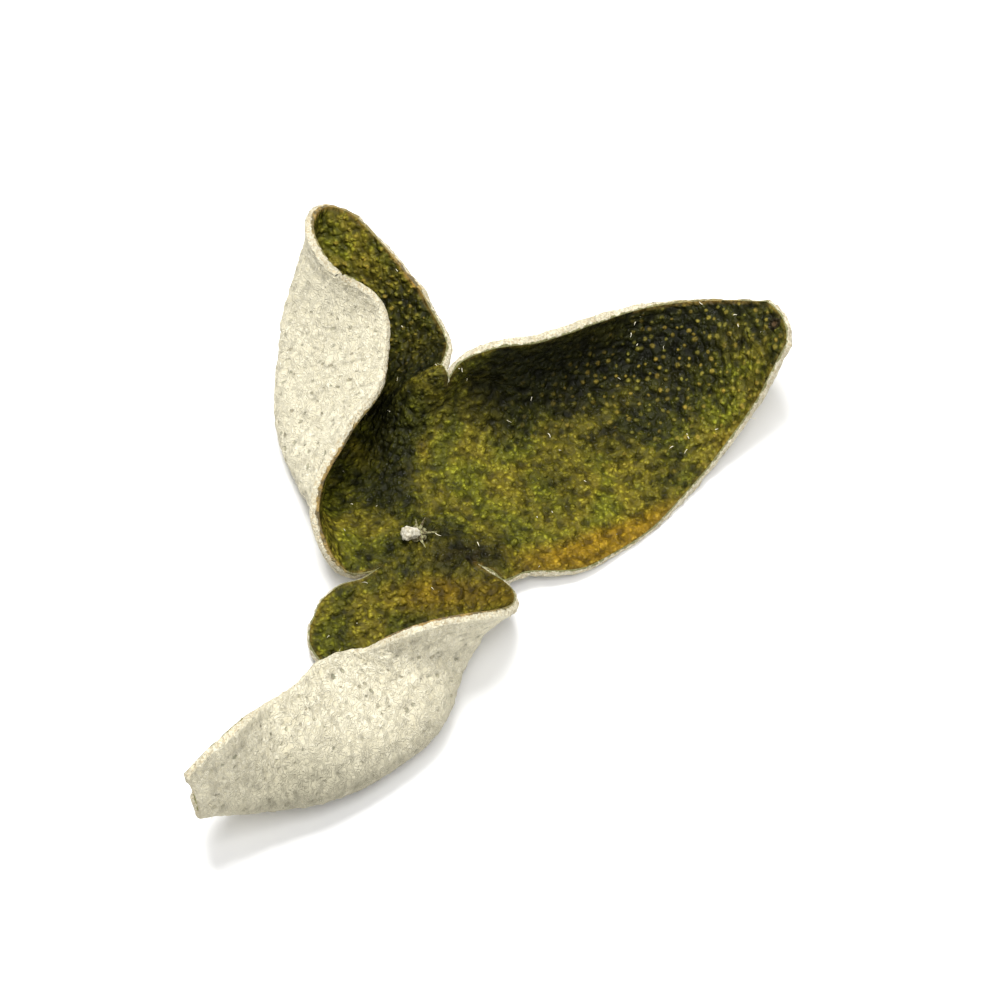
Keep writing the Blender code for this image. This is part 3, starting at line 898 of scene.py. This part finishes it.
def skin_material():
    """Dark oily skin, raised golden glands, painted shade, brighter and amber patches, bruises."""
    material, tree, shader = new_material("green_skin", 0.5, 0.1)
    flat, place = read(tree, "flat", "Vector"), read(tree, "place", "Vector")
    pushed = warped(tree, place, 1.8, 0.45)
    fine = cells(tree, pushed, FLECK_SPACING, 1.0, "3D")
    broad = cells(tree, pushed, KNOB_SPACING, 1.0, "3D")
    knob = band(tree, fine.outputs["Distance"], 0.62, 0.14)
    swell = band(tree, broad.outputs["Distance"], 0.8, 0.25)
    mottled = cloud(tree, place, MOTTLE_SIZE, 3.0, 0.6).outputs["Fac"]
    lit = skin_light(tree, place, mottled)
    vivid = band(tree, cell_numbers(tree, fine)[0], 0.0, 1.0, 0.3, 1.0)
    base = green_skin(tree, place, lit, times(tree, knob, vivid), mottled)
    gland = gland_cells(tree, flat)
    own = cell_numbers(tree, gland)
    star = gland_star(tree, gland, own)
    bright = band(tree, own[0], 0.0, 0.9, 0.5, 1.0)
    shown = band(tree, read(tree, "stars"), 0.0, 0.85, 0.04, 0.85)
    base = tint(tree, times(tree, star, bright, shown), base, tint(tree, own[2], GOLD_GREEN, GOLD))
    base = aged_skin(tree, base, mottled)
    # Painted shade in hollows and in the creases between the broad cells.
    unshaded = times(tree, read(tree, "rise"), calc(tree, "ADD", times(tree, swell, 0.5), 0.5))
    tree.links.new(dried(tree, base, place, 0.45, 0.66, unshaded, 0.34), shader.inputs["Base Color"])
    oily = band(tree, fine.outputs["Distance"], 0.15, 0.62, 0.34, 0.6)
    tree.links.new(oily, shader.inputs["Roughness"])
    fine_relief = calc(tree, "ADD", times(tree, knob, 0.45), times(tree, star, 0.4))
    height = total(tree, fine_relief, times(tree, mottled, 0.7), times(tree, swell, 0.9))
    bump(tree, shader, height, 0.45, 1.0)
    return material


def pith_dimples(tree, flat, fibres, inside):
    """Where the pith has ragged dimples, and their colour."""
    dimple = dimple_cells(tree, flat)
    own = cell_numbers(tree, dimple)
    size = band(tree, own[2], 0.0, 1.0, DIMPLE_RADIUS * 0.45, DIMPLE_RADIUS)
    frayed = times(tree, centred(tree, fibres), 0.4)
    ragged = calc(tree, "ADD", dimple.outputs["Distance"], frayed)
    hole = band(tree, calc(tree, "SUBTRACT", size, ragged), 0.0, 0.09)
    shown = band(tree, own[0], 0.2, 1.0, 0.0, 0.65)
    return times(tree, hole, shown, inside), tint(tree, own[1], DIMPLE_GREEN, DIMPLE_BROWN)


def cut_edge(tree, place, depth, rust, base, grit):
    """The pith with tan grit on the torn rim and the brown line of the cut skin."""
    on_rim = band(tree, calc(tree, "ABSOLUTE", depth), 0.88, 0.6)
    base = tint(tree, times(tree, on_rim, band(tree, grit, 0.47, 0.6), 0.55), base, RIM_TAN)
    wavy = times(tree, centred(tree, cloud(tree, place, 1.1, 3.0).outputs["Fac"]), 1.2)
    skinward = total(tree, depth, wavy, times(tree, rust, 0.4))
    line = band(tree, skinward, 0.55, 0.8)
    mixed = band(tree, cloud(tree, place, 1.6, 2.0).outputs["Fac"], 0.42, 0.58)
    cut = tint(tree, rust, CUT_GREEN, tint(tree, mixed, CUT_BROWN, CUT_AMBER))
    return tint(tree, times(tree, line, 0.9), base, cut)


def pith_material():
    """Dry white pith, grey-green dimples and fibres, painted shade, and the cut skin's brown line.
    """
    material, tree, shader = new_material("white_pith", 0.92, 0.2)
    flat, place = read(tree, "flat", "Vector"), read(tree, "place", "Vector")
    depth = put(tree, "ShaderNodeSeparateXYZ", {0: flat}).outputs["Z"]
    inside = band(tree, read(tree, "margin"), 0.6, 2.2)
    tangled = warped(tree, place, 1.8, 2.2)
    fibres = cloud(tree, tangled, FIBRE_SIZE, 5.0, 0.6).outputs["Fac"]
    wave = {"Vector": tangled, "Scale": 0.5, "Distortion": 9.0, "Detail": 4.0}
    strand = band(tree, put(tree, "ShaderNodeTexWave", wave).outputs["Fac"], 0.62, 1.0)
    soft = cloud(tree, place, SOFT_SIZE, 3.0).outputs["Fac"]
    base = tint(tree, band(tree, soft, 0.36, 0.62), PITH_GREY, PITH_CREAM)
    base = tint(tree, times(tree, band(tree, fibres, 0.42, 0.7), 0.8), base, PITH_WHITE)
    base = tint(tree, times(tree, strand, 0.55), base, PITH_WHITE)
    hole, hole_colour = pith_dimples(tree, flat, fibres, inside)
    base = tint(tree, hole, base, hole_colour)
    # Painted shade where the pith curls under.
    pith_shaded = times(tree, read(tree, "pith_painted_shade"), band(tree, soft, 0.2, 0.6, 0.6, 1.0))
    base = tint(tree, pith_shaded, base, PITH_SHADE)
    smudge = cloud(tree, tangled, SMUDGE_SIZE, 3.0).outputs["Fac"]
    smudge = band(tree, smudge, 0.56, 0.74, 0.0, 0.4)
    base = tint(tree, times(tree, smudge, inside), base, PITH_SHADE)
    grit = cloud(tree, place, GRIT_SIZE, 3.0).outputs["Fac"]
    base = cut_edge(tree, place, depth, read(tree, "rust"), base, grit)
    # Painted shade in the hollows of the fluff and dimples.
    worn = dried(tree, base, place, 0.3, 0.84, read(tree, "rise"), 0.8)
    tree.links.new(worn, shader.inputs["Base Color"])
    fluff = calc(tree, "ADD", fibres, times(tree, strand, 0.4))
    height = calc(tree, "SUBTRACT", fluff, times(tree, hole, 0.5))
    height = calc(tree, "ADD", height, times(tree, grit, 0.5))
    bump(tree, shader, height, 0.5, 0.9)
    return material


def object_place(tree):
    """Place on the piece in millimetres."""
    place = put(tree, "ShaderNodeTexCoord").outputs["Object"]
    inputs = {0: place, "Scale": 1.0 / MM}
    return put(tree, "ShaderNodeVectorMath", inputs, operation="SCALE").outputs[0]


def stalk_material():
    """Dry woody stalk, pale with darker grooves."""
    material, tree, shader = new_material("dried_stalk", 0.85, 0.3)
    place = object_place(tree)
    streaky = band(tree, cloud(tree, place, 0.7, 4.0).outputs["Fac"], 0.38, 0.6)
    base = tint(tree, streaky, STALK_DARK, STALK_PALE)
    woody = read(tree, "woody")
    base = tint(tree, woody, tint(tree, streaky, CALYX_BROWN, CALYX_GREEN), base)
    tree.links.new(dried(tree, base, place, 0.3, 0.75), shader.inputs["Base Color"])
    bump(tree, shader, cloud(tree, place, 0.35, 4.0).outputs["Fac"], 0.15, 0.6)
    return material


def thread_material():
    """Pale thread of pith."""
    material, tree, shader = new_material("pith_thread", 0.9, 0.3)
    place = object_place(tree)
    cloudy = band(tree, cloud(tree, place, 1.5, 2.0).outputs["Fac"], 0.4, 0.6)
    base = tint(tree, cloudy, PITH_CREAM, PITH_WHITE)
    tree.links.new(dried(tree, base, place, 0.4, 0.85), shader.inputs["Base Color"])
    return material


def field_distances(flat, makers):
    """Distance in each cell pattern at the flat places, worked out by the shaders' own nodes."""
    mesh = bpy.data.meshes.new("flat_places")
    mesh.vertices.add(len(flat))
    places = np.concatenate([flat, np.zeros((len(flat), 1))], axis=1)
    mesh.vertices.foreach_set("co", places.ravel())
    obj = bpy.data.objects.new("flat_places", mesh)
    bpy.context.scene.collection.objects.link(obj)
    tree = bpy.data.node_groups.new("cell_fields", "GeometryNodeTree")
    for in_out in ("INPUT", "OUTPUT"):
        tree.interface.new_socket("Geometry", in_out=in_out, socket_type="NodeSocketGeometry")
    geometry = tree.nodes.new("NodeGroupInput").outputs[0]
    position = tree.nodes.new("GeometryNodeInputPosition").outputs[0]
    for name, maker in makers.items():
        distance = maker(tree, position).outputs["Distance"]
        inputs = {"Geometry": geometry, "Name": name, "Value": distance}
        options = {"data_type": "FLOAT", "domain": "POINT"}
        kept = put(tree, "GeometryNodeStoreNamedAttribute", inputs, **options)
        geometry = kept.outputs["Geometry"]
    put(tree, "NodeGroupOutput", {0: geometry})
    obj.modifiers.new("fields", "NODES").node_group = tree
    bpy.context.view_layer.update()
    solved = obj.evaluated_get(bpy.context.evaluated_depsgraph_get()).data
    fields = {}
    for name in makers:
        values = np.zeros(len(flat), dtype=np.float32)
        solved.attributes[name].data.foreach_get("value", values)
        fields[name] = values.astype(float)
    bpy.data.objects.remove(obj)
    bpy.data.meshes.remove(mesh)
    bpy.data.node_groups.remove(tree)
    return fields


def zone_strength(patches, flat, shares):
    """Strength from 0 to 1 of soft oval patches at each place."""
    clear = np.ones(len(flat))
    for petal, middle, length, width, heading, strength in patches:
        offset = flat - np.array(middle, float)
        turn = math.radians(heading)
        forward = (offset[:, 0] * math.cos(turn) + offset[:, 1] * math.sin(turn)) / length
        sideways = (offset[:, 1] * math.cos(turn) - offset[:, 0] * math.sin(turn)) / width
        value = strength * np.exp(-(forward**2) - sideways**2)
        if petal is not None:
            value = value * shares[:, petal]
        clear *= 1.0 - value
    return 1.0 - clear


def skin_relief(base, fields, from_margin):
    """Height of the glands and wrinkles of the green side."""
    glands = GLAND_HEIGHT * (1.0 - ease(fields["gland"], 0.0, GLAND_FOOT * GLAND_RADIUS))
    wrinkles = WRINKLE_HEIGHT * rough(base["flat3"], WRINKLE_SIZE, 3, WRINKLE_SEED)
    return (glands + wrinkles) * ease(from_margin, 0.0, CALM_MARGIN)


def pith_relief(base, fields, from_margin):
    """Height of the fluff and dimples of the white side."""
    dimples = DIMPLE_DEPTH * (1.0 - ease(fields["dimple"], 0.0, DIMPLE_FOOT * DIMPLE_RADIUS))
    fluff = FLUFF_HEIGHT * rough(base["flat3"], FLUFF_SIZE, 3, FLUFF_SEED)
    return fluff - dimples * ease(from_margin, DIMPLE_FREE_MARGIN, DIMPLE_FULL_MARGIN)


def shown_rise(relief):
    """Relief as 0 in the deepest hollows and 1 from the middle height up, for painted shade."""
    low, middle = np.percentile(relief, HOLLOW_PERCENTILES)
    return ease(relief, low, middle)


def rim_rows(points, normals, loop):
    """Rounded, torn rim between the two sides, row by row from the green side down."""
    after = points[np.roll(loop, -1)]
    before = points[np.roll(loop, 1)]
    outward = normalised(np.cross(after - before, normals[loop]))
    rows = []
    depths = []
    for row in range(1, RIM_ROWS + 1):
        angle = math.pi * (0.5 - row / (RIM_ROWS + 1.0))
        seed = TEAR_SEED_STEP * row + TEAR_SEED
        torn = TEAR_REACH * rough(points[loop], TEAR_SIZE, 3, seed)
        torn = torn * (1.0 - 0.5 * math.sin(angle))
        reach = RIM_BULGE * math.cos(angle) + torn * math.cos(angle)
        depth = THICKNESS * 0.5 * math.sin(angle)
        rows.append(points[loop] + outward * reach[:, None] + normals[loop] * depth)
        depths.append(np.full(len(loop), depth))
    return rows, depths


def strip(upper, lower):
    """Triangles between two closed loops of the same length."""
    count = len(upper)
    triangles = []
    for k in range(count):
        n = (k + 1) % count
        triangles.append((upper[n], upper[k], lower[k]))
        triangles.append((upper[n], lower[k], lower[n]))
    return triangles


def mesh_object(name, points, triangles):
    """Object from points in metres and triangles."""
    mesh = bpy.data.meshes.new(name)
    mesh.from_pydata(points.tolist(), [], triangles.tolist())
    mesh.shade_smooth()
    obj = bpy.data.objects.new(name, mesh)
    bpy.context.scene.collection.objects.link(obj)
    return obj


def store(obj, name, values):
    """Keeps one number or one vector for each point, for the materials to read."""
    values = np.asarray(values)
    kind, key = ("FLOAT", "value") if values.ndim == 1 else ("FLOAT_VECTOR", "vector")
    made = obj.data.attributes.new(name, kind, "POINT")
    made.data.foreach_set(key, values.ravel())


def in_frame(points):
    """Points in the frame's metres, lifted to the peel's height and pressed flat on the floor."""
    lifted = points + np.array([0.0, 0.0, HUB_HEIGHT])
    lifted[:, 2] = np.maximum(lifted[:, 2], 0.0)
    return (lifted + np.array([HUB_X, HUB_Y, 0.0])) * MM


def solve_sheet(petals):
    """The middle surface with its dents, its normals and its distance from the margin."""
    base = lay_out_sheet(petals)
    normals = point_normals(base["points"], base["triangles"])
    if normals[0, 2] < 0.0:
        base["triangles"] = base["triangles"][:, ::-1]
        normals = -normals
    base["flat3"] = np.concatenate([base["flat"], np.zeros((len(base["flat"]), 1))], axis=1)
    dents = DENT_DEPTH * rough(base["points"], DENT_SIZE, 2, DENT_SEED)
    base["points"] = base["points"] + normals * dents[:, None]
    base["normals"] = point_normals(base["points"], base["triangles"])
    base["loop"] = margin_loop(base["triangles"])
    base["margin"] = margin_distance(base["points"], base["loop"])
    return base


def make_peel(base):
    """One closed mesh: skin, pith and the torn rim between them.

    Each point keeps its place on the flattened peel with its depth in the rim (flat), its
    place in space without the relief (place), its distance from the margin (margin), how far
    it rises out of the hollows (rise), and the strength of each zone.
    """
    fields = field_distances(base["flat"], {"gland": gland_cells, "dimple": dimple_cells})
    points, normals, loop = base["points"], base["normals"], base["loop"]
    count = len(points)
    skin_rise = skin_relief(base, fields, base["margin"])
    pith_rise = pith_relief(base, fields, base["margin"])
    half = THICKNESS * 0.5
    top = points + normals * (half + skin_rise)[:, None]
    under = points - normals * (half + pith_rise)[:, None]
    rows, depths = rim_rows(points, normals, loop)
    ids = [loop]
    ids.extend(2 * count + row * len(loop) + np.arange(len(loop)) for row in range(RIM_ROWS))
    ids.append(loop + count)
    rim = [triangle for a, b in zip(ids, ids[1:]) for triangle in strip(a, b)]
    sides = [base["triangles"], base["triangles"][:, ::-1] + count]
    triangles = np.concatenate(sides + [np.array(rim)])
    everything = in_frame(np.concatenate([top, under] + rows))
    peel = mesh_object("mandarin_peel", everything, triangles)
    depth = np.concatenate([np.full(count, half), np.full(count, -half)] + depths)
    source = np.concatenate([np.arange(count), np.arange(count)] + [loop] * RIM_ROWS)
    store(peel, "flat", np.concatenate([base["flat"][source], depth[:, None]], axis=1))
    store(peel, "place", np.concatenate([points + normals * half, points - normals * half] + rows))
    store(peel, "margin", base["margin"][source])
    # How far each point rises, which sets the painted shade in hollows.
    risen = [shown_rise(skin_rise), shown_rise(pith_rise), np.ones(RIM_ROWS * len(loop))]
    store(peel, "rise", np.concatenate(risen))
    for name, patches in ZONES.items():
        store(peel, name, zone_strength(patches, base["flat"], base["shares"])[source])
    index = np.ones(len(triangles), dtype=np.int32)
    index[: len(base["triangles"])] = 0
    peel.data.materials.append(skin_material())
    peel.data.materials.append(pith_material())
    peel.data.polygons.foreach_set("material_index", index)
    base["top"] = top
    base["under"] = under
    return peel


def tube(path, radii, segments, ridges=0, ridge_depth=0.0, flatten=1.0, side=(0.0, 0.0, 1.0)):
    """Closed tube round a path, ridged or flattened: its points and triangles."""
    path = np.asarray(path, float)
    ahead = normalised(np.gradient(path, axis=0))
    across = normalised(np.cross(ahead, side))
    up = np.cross(across, ahead)
    angles = np.linspace(0.0, 2.0 * math.pi, segments, endpoint=False)
    swell = 1.0 + ridge_depth * np.cos(ridges * angles)
    points = [path[:1]]
    for centre, radius, a, b in zip(path, radii, across, up):
        ring = a * np.cos(angles)[:, None] + b * (np.sin(angles) * flatten)[:, None]
        points.append(centre + ring * (radius * swell)[:, None])
    points.append(path[-1:])
    points = np.concatenate(points)
    last = len(points) - 1
    end = last - segments
    triangles = []
    for k in range(segments):
        n = (k + 1) % segments
        triangles.append((0, 1 + n, 1 + k))
        for row in range(len(path) - 1):
            a, b = 1 + row * segments, 1 + (row + 1) * segments
            triangles.append((a + k, a + n, b + n))
            triangles.append((a + k, b + n, b + k))
        triangles.append((last, end + k, end + n))
    return points, np.array(triangles)


def join(shapes):
    """Several shapes as one list of points and one of triangles."""
    points = []
    triangles = []
    total = 0
    for shape_points, shape_triangles in shapes:
        points.append(shape_points)
        triangles.append(shape_triangles + total)
        total += len(shape_points)
    return np.concatenate(points), np.concatenate(triangles)


def stub_shape(seat):
    """Cut end of the stalk: ridged, widening to a rough rounded end."""
    lean = normalised(np.array(STUB_LEAN))
    share, radii = np.array(STUB_PROFILE).T
    path = seat + lean * (share * STUB_LENGTH)[:, None]
    return tube(path, radii * STUB_RADIUS, 28, ridges=7, ridge_depth=0.09)


def calyx_shape(seat, skin_height):
    """Five-lobed cushion that the stalk grew from, down to the skin."""
    low, high = skin_height - 0.3, seat[2]
    levels = np.sort([low, low + 0.4, high * 0.5 + low * 0.5, high, high + 0.35, high + 0.55])
    path = np.array([(seat[0], seat[1], level) for level in levels])
    radii = np.array(CALYX_SHARES) * CALYX_RADIUS / max(CALYX_SHARES)
    return tube(path, radii, 30, ridges=5, ridge_depth=0.12, side=(0.0, 1.0, 0.0))


def sepal_shape(seat, heading, length, climb):
    """One dried sepal, a thin pointed tongue that lies on the skin and curls at its tip."""
    angle = math.radians(heading)
    share = np.linspace(0.0, 1.0, 9)
    rise = math.tan(math.radians(climb)) * length * share + SEPAL_CURL * share**3
    forward = np.array([math.cos(angle), math.sin(angle), 0.0])
    upward = np.array([0.0, 0.0, 1.0])
    path = seat + forward * (length * share)[:, None] + upward * (rise + BUTTON_LIFT)[:, None]
    radii = SEPAL_RADIUS * (1.0 - share**1.6) + SEPAL_TIP
    return tube(path, radii, 10, flatten=SEPAL_FLATNESS)


def make_button(base):
    """Stem button: calyx, stub and sepals, roughened as one piece."""
    near = np.linalg.norm(base["top"][:, :2], axis=1)
    skin_height = base["top"][near < 1.0, 2].mean()
    highest = base["top"][near < CALYX_RADIUS + SEAT_REACH, 2].max()
    seat = np.array([0.0, 0.0, highest + 0.1])
    foot = seat + np.array([0.0, 0.0, BUTTON_LIFT])
    shapes = [calyx_shape(seat, skin_height), stub_shape(foot)]
    shapes.extend(sepal_shape(seat, *values) for values in SEPALS)
    points, triangles = join(shapes)
    shake = [rough(points, BUTTON_SHAKE_SIZE, 3, seed) for seed in BUTTON_SHAKE_SEEDS]
    points = points + BUTTON_SHAKE * np.stack(shake, axis=1)
    button = mesh_object("cut_stem", in_frame(points), triangles)
    woody = [float(number == 1) for number, shape in enumerate(shapes) for _ in shape[0]]
    store(button, "woody", woody)
    button.data.materials.append(stalk_material())
    return button


def curled_fibre(draw, start, ahead, normal, length, radius):
    """One short fibre that curls as it leaves the surface."""
    share = np.linspace(0.0, 1.0, 5)
    bend = draw.uniform(-THREAD_BEND, THREAD_BEND) * length
    lift = draw.uniform(0.0, THREAD_LIFT) * length
    side = np.cross(normal, ahead)
    path = (
        start
        + ahead * (share * length)[:, None]
        + side * (bend * share**2)[:, None]
        + normal * (lift * np.sin(share * math.pi))[:, None]
    )
    radii = radius * (1.0 - 0.6 * share)
    return tube(path, radii, 4, side=normal)


def any_way(draw):
    """A random direction."""
    return normalised(np.array([draw.uniform(-1, 1) for _ in range(3)]))


def thread_object(name, shapes, pith):
    """All threads of one kind as one object."""
    points, triangles = join(shapes)
    threads = mesh_object(name, in_frame(points), triangles)
    threads.data.materials.append(pith)
    return threads


def make_specks(base, pith):
    """Loose crumbs and threads of pith that cling to the green skin."""
    draw = random.Random(SPECK_SEED)
    shapes = []
    for _ in range(SPECKS):
        k = draw.randrange(len(base["top"]))
        normal = base["normals"][k]
        ahead = normalised(np.cross(normal, any_way(draw)))
        start = base["top"][k] - normal * 0.03
        length = draw.uniform(*SPECK_LENGTH)
        radius = draw.uniform(*SPECK_RADIUS)
        shapes.append(curled_fibre(draw, start, ahead, normal, length, radius))
    return thread_object("pith_specks", shapes, pith)


def make_fringe(base, pith):
    """Torn fibres that stand out from the pith near the margin."""
    draw = random.Random(FRINGE_SEED)
    near = np.flatnonzero(base["margin"] < FRINGE_BAND)
    shapes = []
    for _ in range(FRINGE):
        k = near[draw.randrange(len(near))]
        normal = -base["normals"][k]
        sideways = np.cross(normal, any_way(draw))
        ahead = normalised(sideways + normal * draw.uniform(*FRINGE_LEAN))
        start = base["under"][k] - normal * 0.08
        length = draw.uniform(*FRINGE_LENGTH)
        radius = draw.uniform(*FRINGE_RADIUS)
        shapes.append(curled_fibre(draw, start, ahead, normal, length, radius))
    return thread_object("pith_fringe", shapes, pith)


def make_floor():
    """Plain pale floor."""
    mesh = bmesh.new()
    bmesh.ops.create_grid(mesh, x_segments=2, y_segments=2, size=FLOOR_HALF)
    data = bpy.data.meshes.new("floor")
    mesh.to_mesh(data)
    mesh.free()
    floor = bpy.data.objects.new("floor", data)
    bpy.context.scene.collection.objects.link(floor)
    material, _, shader = new_material("floor_white", 0.9)
    shader.inputs["Base Color"].default_value = (*FLOOR_WHITE, 1.0)
    floor.data.materials.append(material)
    return floor


def area_light(name, place, size, energy):
    """Square light that points at the middle of the frame."""
    light = bpy.data.lights.new(name, "AREA")
    light.size = size
    light.energy = energy
    obj = bpy.data.objects.new(name, light)
    obj.location = place
    obj.rotation_mode = "QUATERNION"
    obj.rotation_quaternion = (-Vector(place)).to_track_quat("-Z", "Y")
    bpy.context.scene.collection.objects.link(obj)


def light_scene():
    """High soft light from above and behind, and an even white surround."""
    world = bpy.data.worlds.new("white_surround")
    world.use_nodes = True
    surround = world.node_tree.nodes["Background"]
    surround.inputs["Color"].default_value = (1.0, 1.0, 1.0, 1.0)
    surround.inputs["Strength"].default_value = SURROUND_STRENGTH
    bpy.context.scene.world = world
    area_light("back_light", **BACK_LIGHT)
    area_light("front_fill", **FRONT_FILL)
    bpy.context.scene.view_settings.view_transform = "Standard"


def place_camera():
    """Camera at the photograph's viewing angle, framed as the photograph is."""
    data = bpy.data.cameras.new("camera")
    data.lens = LENS
    data.sensor_width = SENSOR
    data.clip_start = 0.01
    camera = bpy.data.objects.new("camera", data)
    distance = VIEW_WIDTH * LENS / SENSOR
    angle = math.radians(VIEW_ELEVATION)
    back = Vector((0.0, -math.cos(angle), math.sin(angle)))
    camera.location = Vector(VIEW_TARGET) + back * distance
    camera.rotation_mode = "QUATERNION"
    camera.rotation_quaternion = (-back).to_track_quat("-Z", "Y")
    bpy.context.scene.collection.objects.link(camera)
    bpy.context.scene.camera = camera


GRAIN_GROUP = grain_group()
sheet_base = solve_sheet(make_petals())
peel = make_peel(sheet_base)
button = make_button(sheet_base)
thread = thread_material()
specks = make_specks(sheet_base, thread)
fringe = make_fringe(sheet_base, thread)
for piece in (peel, button, specks, fringe):
    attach(piece, "root")
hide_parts("peel")
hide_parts("stem_button")
make_floor()
light_scene()
place_camera()
